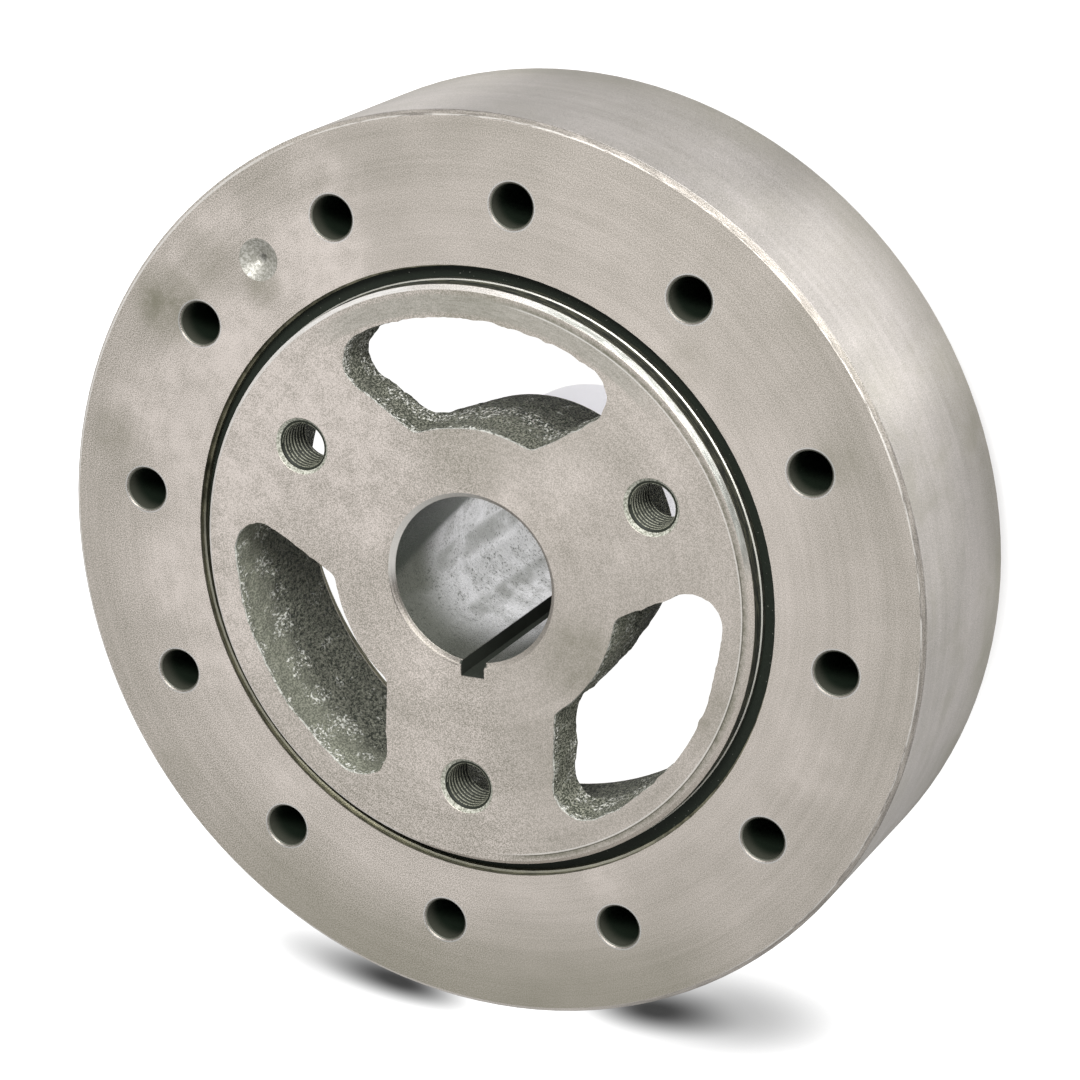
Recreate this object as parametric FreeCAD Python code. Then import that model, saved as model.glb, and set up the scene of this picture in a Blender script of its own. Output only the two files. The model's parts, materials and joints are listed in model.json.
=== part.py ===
"""Harmonic balancer of a small V8 engine: an iron hub, a bonded rubber strip and an iron inertia ring.

Units are millimetres. The axis is Z, the front face looks along +Z, and the origin is
on the axis at the rear end of the hub's snout, which is the end that it stands on.
Angles are in degrees about Z, counted from +X, which points at a hole of the ring.
"""
import FreeCAD, Part
import math
import os

# Hub, along the axis
HUB_LENGTH = 57.5
HUB_BODY_DEPTH = 31.6
WEB_THICKNESS = 10.0

# Hub, bore and keyway
BORE_DIAMETER = 31.6
BORE_CHAMFER = 1.0
BORE_LEAD_CHAMFER = 1.6
KEYWAY_WIDTH = 4.76
KEYWAY_FLOOR_RADIUS = 18.5
KEYWAY_ANGLE = 276.7

# Hub, snout that runs in the front oil seal
SNOUT_DIAMETER = 44.4
SNOUT_CHAMFER = 1.2

# Hub, cast boss round the bore, which sits a little off centre
BOSS_RADIUS = 28.35
BOSS_REAR_RADIUS = 26.4
BOSS_SHIFT = FreeCAD.Vector(0.23, 0.43, 0)

# Hub, rim that carries the rubber
RIM_DIAMETER = 110.8
RIM_FRONT_RECESS = 0.4
RIM_EDGE_CHAMFER = 0.8
RIM_INNER_RADIUS = 49.3
RIM_INNER_REAR_RADIUS = 50.8
RIM_REAR_CHAMFER = 0.5

# Hub, three spokes and the windows between them
SPOKE_COUNT = 3
SPOKE_WIDTH = 34.0
SPOKE_ANGLE = 34.9
FIRST_SPOKE_TRIM = 0.8
WINDOW_OUTER_CORNER = 6.0
WINDOW_INNER_CORNER = 2.5
BOSS_FILLET = 4.5
RIM_BEVEL = 2.5

# Hub, threaded holes for the crank pulley, drilled at the thread's outer diameter
PULLEY_BOLT_CIRCLE = 80.6
PULLEY_BOLT_ANGLE = 34.3
PULLEY_THREAD_DIAMETER = 9.53
PULLEY_HOLE_COUNTERSINK = 0.65

# Rubber strip
RUBBER_THICKNESS = 2.25
RUBBER_FRONT_RECESS = 1.0
RUBBER_REAR_RECESS = 1.2

# Inertia ring
RING_DIAMETER = 171.5
RING_WIDTH = 41.5
RING_BEHIND_HUB_FACE = 2.6
RING_FRONT_CHAMFER = 1.0
RING_REAR_CHAMFER = 0.4
RING_BORE_REAR_CHAMFER = 1.5
RING_MOUTH_RECESS = 0.45
RING_MOUTH_DEPTH = 1.3
RIM_STEP_BELOW_RING = 1.05

# Inertia ring, drilled holes
RING_HOLE_COUNT = 12
RING_HOLE_CIRCLE = 140.0
RING_HOLE_DIAMETER = 8.0
RING_HOLE_DEPTH = 25.0
RING_HOLE_CHAMFER = 0.4
DRILL_POINT_ANGLE = 118.0
DRILL_MARK_ANGLE = 134.7

# How far a cutting tool runs past the face that it opens
OVERRUN = 2.0

ORIGIN = FreeCAD.Vector(0, 0, 0)
AXIS = FreeCAD.Vector(0, 0, 1)
FRONT_Z = HUB_LENGTH
BACK_Z = FRONT_Z - HUB_BODY_DEPTH
WEB_BACK_Z = FRONT_Z - WEB_THICKNESS
WINDOW_BOTTOM_Z = WEB_BACK_Z - max(BOSS_FILLET, RIM_BEVEL)
RING_FRONT_Z = FRONT_Z - RING_BEHIND_HUB_FACE
RING_BACK_Z = RING_FRONT_Z - RING_WIDTH
RIM_STEP_Z = RING_FRONT_Z - RIM_STEP_BELOW_RING
RIM_RADIUS = RIM_DIAMETER / 2
RING_BORE_RADIUS = RIM_RADIUS + RUBBER_THICKNESS
RING_MOUTH_Z = RING_FRONT_Z - RING_MOUTH_DEPTH


def polar(radius, angle, z=0.0):
    """Point at a radius and an angle about the axis."""
    turn = math.radians(angle)
    return FreeCAD.Vector(radius * math.cos(turn), radius * math.sin(turn), z)


def revolve(outline):
    """Turn a closed outline of (radius, z) points once about the axis."""
    points = [FreeCAD.Vector(radius, 0, z) for radius, z in outline]
    face = Part.Face(Part.makePolygon(points + points[:1]))
    return face.revolve(ORIGIN, AXIS, 360)


def hub_blank():
    """Turned outside of the hub: snout, rear face, rim and front face, with the bore."""
    bore = BORE_DIAMETER / 2
    snout = SNOUT_DIAMETER / 2
    rim_front = RIM_RADIUS - RIM_FRONT_RECESS
    return revolve([
        (bore, BORE_LEAD_CHAMFER),
        (bore + BORE_LEAD_CHAMFER, 0),
        (snout - SNOUT_CHAMFER, 0),
        (snout, SNOUT_CHAMFER),
        (snout, BACK_Z),
        (RIM_RADIUS - RIM_REAR_CHAMFER, BACK_Z),
        (RIM_RADIUS, BACK_Z + RIM_REAR_CHAMFER),
        (RIM_RADIUS, RIM_STEP_Z),
        (rim_front, RIM_STEP_Z),
        (rim_front, FRONT_Z - RIM_EDGE_CHAMFER),
        (rim_front - RIM_EDGE_CHAMFER, FRONT_Z),
        (bore + BORE_CHAMFER, FRONT_Z),
        (bore, FRONT_Z - BORE_CHAMFER),
    ])


def rim_plug():
    """Inside of the rim behind the web, drafted to the rear, with a bevel up to the web."""
    bevel_z = WEB_BACK_Z - RIM_BEVEL
    draft = (RIM_INNER_REAR_RADIUS - RIM_INNER_RADIUS) / (bevel_z - BACK_Z)
    return revolve([
        (0, BACK_Z - OVERRUN),
        (RIM_INNER_REAR_RADIUS + draft * OVERRUN, BACK_Z - OVERRUN),
        (RIM_INNER_RADIUS, bevel_z),
        (RIM_INNER_RADIUS - RIM_BEVEL, WEB_BACK_Z),
        (0, WEB_BACK_Z),
    ])


def boss_plug():
    """Drafted boss behind the web, which flares into the web with a cast fillet."""
    low = BACK_Z - OVERRUN
    fillet_z = WEB_BACK_Z - BOSS_FILLET
    draft = (BOSS_RADIUS - BOSS_REAR_RADIUS) / (fillet_z - BACK_Z)
    flare = BOSS_RADIUS + BOSS_FILLET
    bend = math.sqrt(0.5) * BOSS_FILLET
    corners = [
        FreeCAD.Vector(flare, 0, WEB_BACK_Z),
        FreeCAD.Vector(0, 0, WEB_BACK_Z),
        FreeCAD.Vector(0, 0, low),
        FreeCAD.Vector(BOSS_REAR_RADIUS - draft * OVERRUN, 0, low),
        FreeCAD.Vector(BOSS_RADIUS, 0, fillet_z),
    ]
    fillet = Part.Arc(corners[-1], FreeCAD.Vector(flare - bend, 0, fillet_z + bend), corners[0])
    outline = Part.Wire([*Part.makePolygon(corners).Edges, fillet.toShape()])
    return Part.Face(outline).revolve(ORIGIN, AXIS, 360)


def trough():
    """Open space behind the web, between the rim and the boss, with both seams behind a spoke."""
    rim = rim_plug()
    rim.rotate(ORIGIN, AXIS, SPOKE_ANGLE)
    boss = boss_plug()
    boss.rotate(ORIGIN, AXIS, SPOKE_ANGLE)
    boss.translate(BOSS_SHIFT)
    return rim.cut(boss)


def spoke_bar(number):
    """Straight-sided bar that leaves one spoke standing; the first is cast thinner on one side."""
    trim = FIRST_SPOKE_TRIM if number == 0 else 0
    bar = Part.makeBox(RIM_RADIUS, SPOKE_WIDTH - trim, HUB_LENGTH)
    bar.translate(FreeCAD.Vector(0, trim - SPOKE_WIDTH / 2, BACK_Z))
    bar.rotate(ORIGIN, AXIS, SPOKE_ANGLE + number * 360 / SPOKE_COUNT)
    return bar


def upright_edges(window):
    """Upright edges of a window, those nearest the axis first."""
    upright = [edge for edge in window.Edges if edge.BoundBox.ZLength > WEB_THICKNESS]
    return sorted(upright, key=lambda edge: math.hypot(edge.CenterOfMass.x, edge.CenterOfMass.y))


def windows():
    """Openings through the web, one between each two spokes, down past the cast fillets."""
    base = FreeCAD.Vector(0, 0, WINDOW_BOTTOM_Z)
    height = FRONT_Z + OVERRUN - WINDOW_BOTTOM_Z
    space = Part.makeCylinder(RIM_INNER_RADIUS, height, base, AXIS)
    space = space.cut(Part.makeCylinder(BOSS_RADIUS, height, base + BOSS_SHIFT, AXIS))
    for number in range(SPOKE_COUNT):
        space = space.cut(spoke_bar(number))
    openings = []
    for window in space.Solids:
        window = window.makeFillet(WINDOW_OUTER_CORNER, upright_edges(window)[-2:])
        openings.append(window.makeFillet(WINDOW_INNER_CORNER, upright_edges(window)[:2]))
    return openings


def keyway():
    """Bar that cuts the keyway along the whole bore."""
    bar = Part.makeBox(KEYWAY_FLOOR_RADIUS, KEYWAY_WIDTH, HUB_LENGTH + 2 * OVERRUN)
    bar.translate(FreeCAD.Vector(0, -KEYWAY_WIDTH / 2, -OVERRUN))
    bar.rotate(ORIGIN, AXIS, KEYWAY_ANGLE)
    return bar


def pulley_hole(angle):
    """Threaded hole through a spoke, with its countersunk mouth."""
    radius = PULLEY_THREAD_DIAMETER / 2
    sink = PULLEY_HOLE_COUNTERSINK
    bottom = polar(PULLEY_BOLT_CIRCLE / 2, angle, WEB_BACK_Z - OVERRUN)
    top = polar(PULLEY_BOLT_CIRCLE / 2, angle, FRONT_Z - sink)
    hole = Part.makeCylinder(radius, WEB_THICKNESS + 2 * OVERRUN, bottom, AXIS)
    return hole.fuse(Part.makeCone(radius, radius + 2 * sink, 2 * sink, top, AXIS))


def hub():
    """One iron casting, machined outside, in the bore and on both faces."""
    body = hub_blank().cut(trough())
    for window in windows():
        body = body.cut(window)
    body = body.cut(keyway())
    for number in range(SPOKE_COUNT):
        body = body.cut(pulley_hole(PULLEY_BOLT_ANGLE + number * 360 / SPOKE_COUNT))
    return body


def elastomer_strip():
    """Rubber bonded between the hub's rim and the ring, short of both their ends."""
    low = max(BACK_Z, RING_BACK_Z) + RUBBER_REAR_RECESS
    high = RING_MOUTH_Z - RUBBER_FRONT_RECESS
    return revolve([
        (RIM_RADIUS, low),
        (RING_BORE_RADIUS, low),
        (RING_BORE_RADIUS, high),
        (RIM_RADIUS, high),
    ])


def ring_blank():
    """Turned inertia ring with its wider mouth at the front."""
    outer = RING_DIAMETER / 2
    mouth = RING_BORE_RADIUS + RING_MOUTH_RECESS
    return revolve([
        (RING_BORE_RADIUS + RING_BORE_REAR_CHAMFER, RING_BACK_Z),
        (outer - RING_REAR_CHAMFER, RING_BACK_Z),
        (outer, RING_BACK_Z + RING_REAR_CHAMFER),
        (outer, RING_FRONT_Z - RING_FRONT_CHAMFER),
        (outer - RING_FRONT_CHAMFER, RING_FRONT_Z),
        (mouth, RING_FRONT_Z),
        (mouth, RING_MOUTH_Z),
        (RING_BORE_RADIUS, RING_MOUTH_Z),
        (RING_BORE_RADIUS, RING_BACK_Z + RING_BORE_REAR_CHAMFER),
    ])


def ring_hole(number):
    """Blind drilled hole of the ring's face, with its edge broken."""
    radius = RING_HOLE_DIAMETER / 2
    mouth = RING_FRONT_Z - RING_HOLE_CHAMFER
    hole = revolve([
        (0, RING_FRONT_Z - RING_HOLE_DEPTH),
        (radius, RING_FRONT_Z - RING_HOLE_DEPTH),
        (radius, mouth),
        (radius + RING_HOLE_CHAMFER + OVERRUN, RING_FRONT_Z + OVERRUN),
        (0, RING_FRONT_Z + OVERRUN),
    ])
    hole.translate(polar(RING_HOLE_CIRCLE / 2, number * 360 / RING_HOLE_COUNT))
    return hole


def drill_mark():
    """Cone that the same drill leaves when only its point has gone in."""
    radius = RING_HOLE_DIAMETER / 2
    depth = radius / math.tan(math.radians(DRILL_POINT_ANGLE / 2))
    tip = polar(RING_HOLE_CIRCLE / 2, DRILL_MARK_ANGLE, RING_FRONT_Z - depth)
    return Part.makeCone(0, 2 * radius, 2 * depth, tip, AXIS)


def inertia_ring():
    """Heavy iron ring with a circle of drilled holes and one drill mark."""
    ring = ring_blank()
    for number in range(RING_HOLE_COUNT):
        ring = ring.cut(ring_hole(number))
    return ring.cut(drill_mark())


def main():
    os.makedirs("parts", exist_ok=True)
    pieces = {
        "hub": hub(),
        "elastomer_strip": elastomer_strip(),
        "inertia_ring": inertia_ring(),
    }
    for name, shape in pieces.items():
        print(f"{name}: solids {len(shape.Solids)}, valid {shape.isValid()}, {shape.Volume / 1000:.1f} cm3")
        shape.Solids[0].exportStep(f"parts/{name}.step")


main()
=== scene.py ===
"""Looks of a harmonic balancer: machined iron hub and ring, rough cast windows and the rubber between.

Lengths are metres in the part's own frame: the axis is Z, the front face looks along +Z and the snout
stands on the floor at z 0. Angles are degrees about Z, counted from +X.
"""
import json
import math

import bmesh
import bpy
from bpy.props import FloatProperty, FloatVectorProperty, PointerProperty
from mathutils import Euler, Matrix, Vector, noise


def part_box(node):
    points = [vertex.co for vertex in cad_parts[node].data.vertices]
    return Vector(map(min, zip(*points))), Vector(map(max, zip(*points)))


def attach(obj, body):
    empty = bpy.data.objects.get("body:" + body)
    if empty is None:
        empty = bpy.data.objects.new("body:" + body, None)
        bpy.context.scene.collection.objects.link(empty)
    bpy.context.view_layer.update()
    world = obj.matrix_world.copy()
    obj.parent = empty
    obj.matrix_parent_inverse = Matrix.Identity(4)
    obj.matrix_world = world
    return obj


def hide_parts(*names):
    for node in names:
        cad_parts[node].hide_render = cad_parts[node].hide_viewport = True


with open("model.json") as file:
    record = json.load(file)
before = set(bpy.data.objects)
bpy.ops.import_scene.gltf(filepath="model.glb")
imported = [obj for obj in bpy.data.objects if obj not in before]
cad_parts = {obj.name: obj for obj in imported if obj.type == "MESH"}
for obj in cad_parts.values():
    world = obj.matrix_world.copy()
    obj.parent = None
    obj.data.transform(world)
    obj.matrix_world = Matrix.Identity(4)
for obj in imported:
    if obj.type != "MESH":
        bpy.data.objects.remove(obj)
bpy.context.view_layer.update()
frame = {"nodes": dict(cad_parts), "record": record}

bl_info = {
    "name": "Harmonic balancer",
    "version": (1, 0, 0),
    "blender": (4, 5, 0),
    "location": "3D View > Sidebar > Balancer",
    "description": "Finishes, threads and studio of a harmonic balancer",
    "category": "Object",
}

MM = 0.001
DIMS = {mount["name"]: mount["dims"] for mount in frame["record"]["mounts"]}

# Places along the axis and radii, read from the frame
FACE_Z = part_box("hub")[1].z
RING_FACE_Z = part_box("inertia_ring")[1].z
RING_BACK_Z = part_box("inertia_ring")[0].z
RING_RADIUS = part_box("inertia_ring")[1].x
RUBBER_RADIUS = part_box("elastomer_strip")[1].x
RIM_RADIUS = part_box("hub")[1].x
HUB_BACK_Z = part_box("elastomer_strip")[0].z - 1.2 * MM
BORE_RADIUS = DIMS["crank_bore"]["r_mm"] * MM
SNOUT_RADIUS = DIMS["seal_journal"]["r_mm"] * MM
PULLEY_CIRCLE = DIMS["pulley_bolts"]["pcd_mm"] / 2 * MM
PULLEY_HOLE_RADIUS = DIMS["pulley_bolts"]["hole_r_mm"] * MM
PULLEY_HOLE_COUNT = DIMS["pulley_bolts"]["count"]
RING_HOLE_CIRCLE = DIMS["ring_holes"]["pcd_mm"] / 2 * MM
RING_HOLE_RADIUS = DIMS["ring_holes"]["hole_r_mm"] * MM
RING_HOLE_COUNT = DIMS["ring_holes"]["count"]

# Places that the frame doesn't name
PULLEY_HOLE_ANGLE = 34.3
PULLEY_SINK = 0.65 * MM
WEB_BACK_Z = FACE_Z - 10 * MM
RIM_FRONT_RADIUS = RIM_RADIUS - 0.4 * MM
LEDGE_Z = FACE_Z - 3.65 * MM
LEDGE_SLOPE = 0.42 * MM
UNCUT_RADIUS = 53.0 * MM
CAST_INNER_RADIUS = 25.0 * MM
CAST_OUTER_RADIUS = 50.9 * MM
DRILL_MARK_ANGLE = 134.7
DRILL_MARK_DEPTH = 2.4 * MM
KEYWAY_ANGLE = 276.7
KEYWAY_DEPTH = 2.7 * MM

# Shade on the boss behind each pulley hole: where it starts and ends, in mm from the hole's wall
BOLT_SHADE_START = 9.235
BOLT_SHADE_END = 13.235

# Heights that the bump maps stand for
TOOL_MARK_HEIGHT = 0.02 * MM
SAND_HEIGHT = 0.35 * MM

# The cast walls' relief: lumps of sand with their size in mm and their share, and the mean of their noise
SAND_LUMPS = ((4.6, 1.0), (1.7, 0.6), (0.8, 0.3))
SAND_MEAN = 0.35
# The relief is weaker on the boss's front outline, and fades out toward the rim's back
BOSS_SIDE_RADIUS = 33 * MM
BOSS_CALM = 0.3
CALM_HEIGHT = 8 * MM

# Meshes: vertices closer than this are merged, and edges flatter than these angles look smooth
MERGE_DISTANCE = 0.002 * MM
CASTING_SMOOTH_ANGLE = 38
THREAD_SMOOTH_ANGLE = 30
STEPS_PER_TURN = 48

# Stains on the ring's face: radius and angle of the middle, core and soft width in mm, and how strong
RING_STAINS = (
    (77, 151, 3, 7, 0.85),
    (75, 142, 2, 7, 0.36),
    (66, 137, 1.5, 4, 0.60),
    (80, 128, 1, 8, 0.12),
    (78, 173, 1.5, 6, 0.45),
    (72, 179, 1, 5, 0.25),
    (61, 54, 1.5, 5, 0.30),
    (76, 30.5, 1, 6, 0.45),
    (82, -138, 1, 9, 0.30),
    (84, 48, 1, 7, 0.25),
)
# Painted sheen: brighter places on the ring's face, in the same form
RING_PAINTED_SHEEN = (
    (65, 126, 5, 12, 1.0),
    (64, 150, 5, 12, 1.0),
    (79, 147, 2, 8, 0.60),
    (68, 166, 5, 11, 0.85),
    (77, 119, 3, 9, 0.65),
    (81, 136, 1, 7, 0.70),
    (60, -166, 4, 12, 0.9),
    (60, 176, 3, 10, 0.7),
    (60, -150, 2, 8, 0.7),
    (61, -124, 1, 8, 0.6),
    (61, -60, 1, 7, 0.45),
    (70, -16, 2, 8, 0.35),
)
# Painted shade on the hub's face: darker patches in the stain's colour
HUB_PAINTED_SHADE = (
    (50, 93, 3, 11, 0.50),
    (25, 100, 3, 9, 0.25),
    (24, -22, 3, 8, 0.50),
    (51.5, -15, 2, 8, 0.45),
    (40, -52, 2, 8, 0.25),
)
# Painted sheen on the hub's face: brighter places, in the same form
HUB_PAINTED_SHEEN = (
    (40, 146, 11, 15, 1.0),
    (24, 153, 6, 8, 0.9),
    (27, 50, 3, 9, 0.5),
    (50, -167, 4, 7, 1.0),
    (50, 172, 6, 14, 1.0),
    (52, 142, 3, 9, 0.7),
    (25, 140, 2, 8, 0.7),
    (19, 68, 1, 6, 0.7),
    (52, -155, 3, 10, 0.9),
    (21, -115, 2, 9, 0.6),
    (27, 23, 2, 8, 0.35),
    (46, 38, 1, 8, 0.35),
    (36, -95, 2, 12, 0.35),
)
# Painted reflection streaks along the bore's wall: the angles between which each lies, its soft width and
# how dark it is
BORE_REFLECTION_STREAKS = (
    (199, 203, 9, 0.60),
    (242, 245, 8, 0.62),
    (218, 224, 7, 0.25),
)

# Painted light and shade on sides of the ring's outside and of the cast walls: angles, soft width and how
# light each is
OUTSIDE_SHADES = (
    (66, 94, 7, 0.88),
    (106, 140, 8, 1.27),
    (26, 35, 5, 1.12),
    (-6, 18, 12, 1.12),
)
CAST_SHADES = (
    (40, 170, 12, 0.62),
    (-75, -15, 10, 0.78),
    (-175, -100, 15, 0.92),
)

# Colours of small places
# Painted shade in the ring's recess beside the rubber
MOUTH_SHADE_DARK = (0.055, 0.055, 0.035)
MOUTH_SHADE_LIGHT = (0.30, 0.285, 0.20)
# Painted highlight on the step in that recess
STEP_HIGHLIGHT = (0.62, 0.61, 0.52)
# Painted shade inside the ring's holes
HOLE_SHADE_MOUTH = (0.075, 0.078, 0.06)
HOLE_SHADE_DEEP = (0.012, 0.020, 0.012)
# Painted highlight round the ring's holes
HOLE_RIM_HIGHLIGHT = (0.60, 0.66, 0.70)
DIMPLE_DARK = (0.21, 0.205, 0.175)
DIMPLE_LIGHT = (0.40, 0.39, 0.355)
SAND_HOLLOW = (0.078, 0.088, 0.060)
SAND_PIT = (0.028, 0.036, 0.024)
# Mottle and painted dark reflections in the bore
BORE_MOTTLE_AND_REFLECTION = (0.10, 0.108, 0.078)
BORE_SPECK = (0.045, 0.052, 0.038)
# Painted shade on one side of the bore
BORE_SHADE = (0.052, 0.066, 0.046)
BRUSHED_DARK = (0.30, 0.295, 0.25)
BRUSHED_LIGHT = (0.46, 0.45, 0.40)
UNCUT_SKIN = (0.17, 0.165, 0.12)
STEP_DARK = (0.10, 0.10, 0.075)
# Painted shade and painted highlight on the hub's rim chamfer
CHAMFER_SHADE_CREAM = (0.74, 0.75, 0.69)
CHAMFER_HIGHLIGHT = (0.95, 0.94, 0.92)
# Painted shade in the groove beside the rubber
GROOVE_SHADE_DARK = (0.008, 0.010, 0.006)
GROOVE_SHADE_LIGHT = (0.058, 0.058, 0.036)
LEDGE_BRIGHT = (0.80, 0.79, 0.72)
# Painted shade in the keyway
KEYWAY_SHADE = (0.024, 0.029, 0.021)
SINK_DARK = (0.17, 0.175, 0.135)
SINK_LIGHT = (0.56, 0.56, 0.49)
# Painted shade inside the pulley holes
SINK_ROOT_SHADE = (0.022, 0.026, 0.017)
RUBBER_SPECK = (0.25, 0.25, 0.22)
# Painted shade on the thread's flanks
THREAD_SHADE = (0.014, 0.017, 0.011)

# Painted shade on one side of the bore: its edge at z 0 in radians, and how far it turns for each metre up
SHADE_START = math.radians(144)
SHADE_SLANT = math.radians(0.8) / MM

# Painted shadow on the floor beside the part: middle, half length and half width in mm, turn and depth
SHADOWS = (
    (-35, -119.5, 22, 6, 0, 1.0),
    (-46, -119, 34, 10, 0, 0.6),
    (24, -107.5, 22, 7, 12, 1.0),
    (38, -103.5, 42, 15, 12, 0.65),
)
# Painted reflection: between these angles the floor glows brighter, only in the iron's gloss, as a
# highlight on the ring's outside
BRIGHT_START = 33.0
BRIGHT_END = 56.0

# Side of the floor, and how far the lamps stand from the part
FLOOR_SIZE = 6.0
LAMP_DISTANCE = 1.2

# The camera stands where the photograph was taken from, with the picture rolled as it is there
CAMERA_PLACE = Vector((0.23791, 0.23312, 0.57676))
CAMERA_TURN = (-18.9651, 25.3972, 5.8596)
CAMERA_LENS = 113.709
CAMERA_SENSOR = 36.0
CAMERA_CLIP = 0.05


def on_circle(radius, angle, z=0.0):
    """Point at a radius and an angle about the axis."""
    turn = math.radians(angle)
    return Vector((radius * math.cos(turn), radius * math.sin(turn), z))


class Paint:
    """A material's node tree, with short ways to add nodes and to do sums on their values."""

    def __init__(self, name):
        self.material = bpy.data.materials.new(name)
        self.material.use_nodes = True
        self.tree = self.material.node_tree
        self.tree.nodes.clear()
        self.place = self.add("ShaderNodeTexCoord").outputs["Object"]
        self.x, self.y, self.z = self.add("ShaderNodeSeparateXYZ", self.place).outputs
        self.radius = self.hypot(self.x, self.y)

    def add(self, kind, *inputs, **settings):
        """Add a node, set it up and feed its first inputs in order."""
        node = self.tree.nodes.new(kind)
        for name, value in settings.items():
            setattr(node, name, value)
        for socket, value in zip(node.inputs, inputs):
            self.feed(socket, value)
        return node

    def feed(self, socket, value):
        """Link a socket, or set a plain value on it."""
        if isinstance(value, bpy.types.NodeSocket):
            self.tree.links.new(value, socket)
        elif socket.type == "RGBA":
            socket.default_value = (*value, 1.0)
        else:
            socket.default_value = value

    def sums(self, operation, *values):
        return self.add("ShaderNodeMath", *values, operation=operation).outputs[0]

    def chain(self, operation, values):
        """Join any number of values by one operation."""
        total = values[0]
        for value in values[1:]:
            total = self.sums(operation, total, value)
        return total

    def plus(self, *values):
        return self.chain("ADD", values)

    def times(self, *values):
        return self.chain("MULTIPLY", values)

    def either(self, *values):
        """The largest of the values."""
        return self.chain("MAXIMUM", values)

    def rest(self, value):
        """What is left of one."""
        return self.sums("SUBTRACT", 1.0, value)

    def hypot(self, across, up):
        return self.sums("SQRT", self.plus(self.times(across, across), self.times(up, up)))

    def in_mm(self, value, origin):
        """How far one length is past another, in mm."""
        return self.sums("DIVIDE", self.sums("SUBTRACT", value, origin), MM)

    def below(self, height):
        """Depth below a height on the axis, in mm."""
        return self.in_mm(height, self.z)

    def beyond(self, radius):
        """Distance outside a radius about the axis, in mm."""
        return self.in_mm(self.radius, radius)

    def rise(self, value, low, high):
        """0 at low, 1 at high and smooth between; falls instead where low is above high."""
        node = self.add("ShaderNodeMapRange", value, low, high, interpolation_type="SMOOTHSTEP")
        return node.outputs["Result"]

    def scaled(self, value, low, high):
        """Spread a share from 0 to 1 over low to high."""
        return self.add("ShaderNodeMapRange", value, 0.0, 1.0, low, high).outputs["Result"]

    def band(self, value, low, high, soft):
        """1 between low and high, fading outside over the soft width."""
        return self.times(self.rise(value, low - soft, low), self.rise(value, high + soft, high))

    def sector(self, start, end, soft):
        """1 between two angles about the axis, fading outside over the soft angle."""
        middle = on_circle(1.0, (start + end) / 2)
        along = self.plus(self.times(self.x, middle.x), self.times(self.y, middle.y))
        cosine = self.sums("DIVIDE", along, self.sums("MAXIMUM", self.radius, 1e-6))
        half = (end - start) / 2
        return self.rise(cosine, math.cos(math.radians(half + soft)), math.cos(math.radians(half)))

    def from_holes(self, count, circle, start, wall):
        """Distance in mm from the wall of the nearest of some holes on a circle, below 0 inside it."""
        pitch = math.tau / count
        turn = self.plus(self.sums("ARCTAN2", self.y, self.x), pitch / 2 - math.radians(start))
        turn = self.sums("SUBTRACT", self.sums("FLOORED_MODULO", turn, pitch), pitch / 2)
        along = self.sums("SUBTRACT", self.times(self.radius, self.sums("COSINE", turn)), circle)
        across = self.times(self.radius, self.sums("SINE", turn))
        return self.in_mm(self.hypot(along, across), wall)

    def patches(self, places, z):
        """The strongest of soft patches on a face, each broken up by a cloud."""
        cloud = self.rise(self.noise(4 * MM, detail=4.0, roughness=0.65), 0.30, 0.68)
        spots = [self.times(self.patch(on_circle(radius * MM, angle, z), core * MM, soft * MM), strength)
                 for radius, angle, core, soft, strength in places]
        return self.times(self.either(*spots), self.scaled(cloud, 0.35, 1.0))

    def around(self, *parts):
        """Half, plus the departure of each value from half times its weight."""
        total = 0.5 - sum(weight for value, weight in parts) / 2
        for value, weight in parts:
            total = self.sums("MULTIPLY_ADD", value, weight, total)
        return total

    def patch(self, centre, radius, soft):
        """1 within a radius of a place, fading outside over the soft width."""
        node = self.add("ShaderNodeVectorMath", self.place, centre, operation="DISTANCE")
        return self.rise(node.outputs["Value"], radius + soft, radius)

    def pool(self, x, y, half_length, half_width, turn):
        """Soft oval on the floor, 1 at its middle and 0 at its edge, with its sizes in mm."""
        node = self.add("ShaderNodeMapping", self.place, (x * MM, y * MM, 0.0),
                        (0.0, 0.0, math.radians(turn)), (half_length * MM, half_width * MM, 1.0),
                        vector_type="TEXTURE")
        length = self.add("ShaderNodeVectorMath", node.outputs[0], operation="LENGTH")
        return self.rise(length.outputs["Value"], 1.0, 0.1)

    def facing_front(self):
        """1 where the surface looks along +Z."""
        normal = self.add("ShaderNodeNewGeometry").outputs["True Normal"]
        return self.rise(self.add("ShaderNodeSeparateXYZ", normal).outputs[2], 0.95, 0.99)

    def noise(self, grain, detail=2.0, roughness=0.5, place=None, warp=0.0):
        """Noise from 0 to 1 whose features are about one grain across, in metres."""
        node = self.add("ShaderNodeTexNoise")
        self.feed(node.inputs["Vector"], place or self.place)
        node.inputs["Scale"].default_value = 1 / grain
        node.inputs["Detail"].default_value = detail
        node.inputs["Roughness"].default_value = roughness
        node.inputs["Distortion"].default_value = warp
        return node.outputs["Fac"]

    def drawn_out(self, share):
        """The place with its pattern drawn out along Z, so that it looks even from the slanting front."""
        stretch = (1.0, 1.0, share)
        return self.add("ShaderNodeVectorMath", self.place, stretch, operation="MULTIPLY").outputs[0]

    def turned(self, across, pull):
        """A place whose pattern follows the lathe: fast across the cut, slow round the axis."""
        inverse = self.sums("DIVIDE", pull, self.sums("MAXIMUM", self.radius, 1e-6))
        round_axis = [self.times(value, inverse) for value in (self.x, self.y)]
        return self.add("ShaderNodeCombineXYZ", across, *round_axis).outputs[0]

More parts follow.
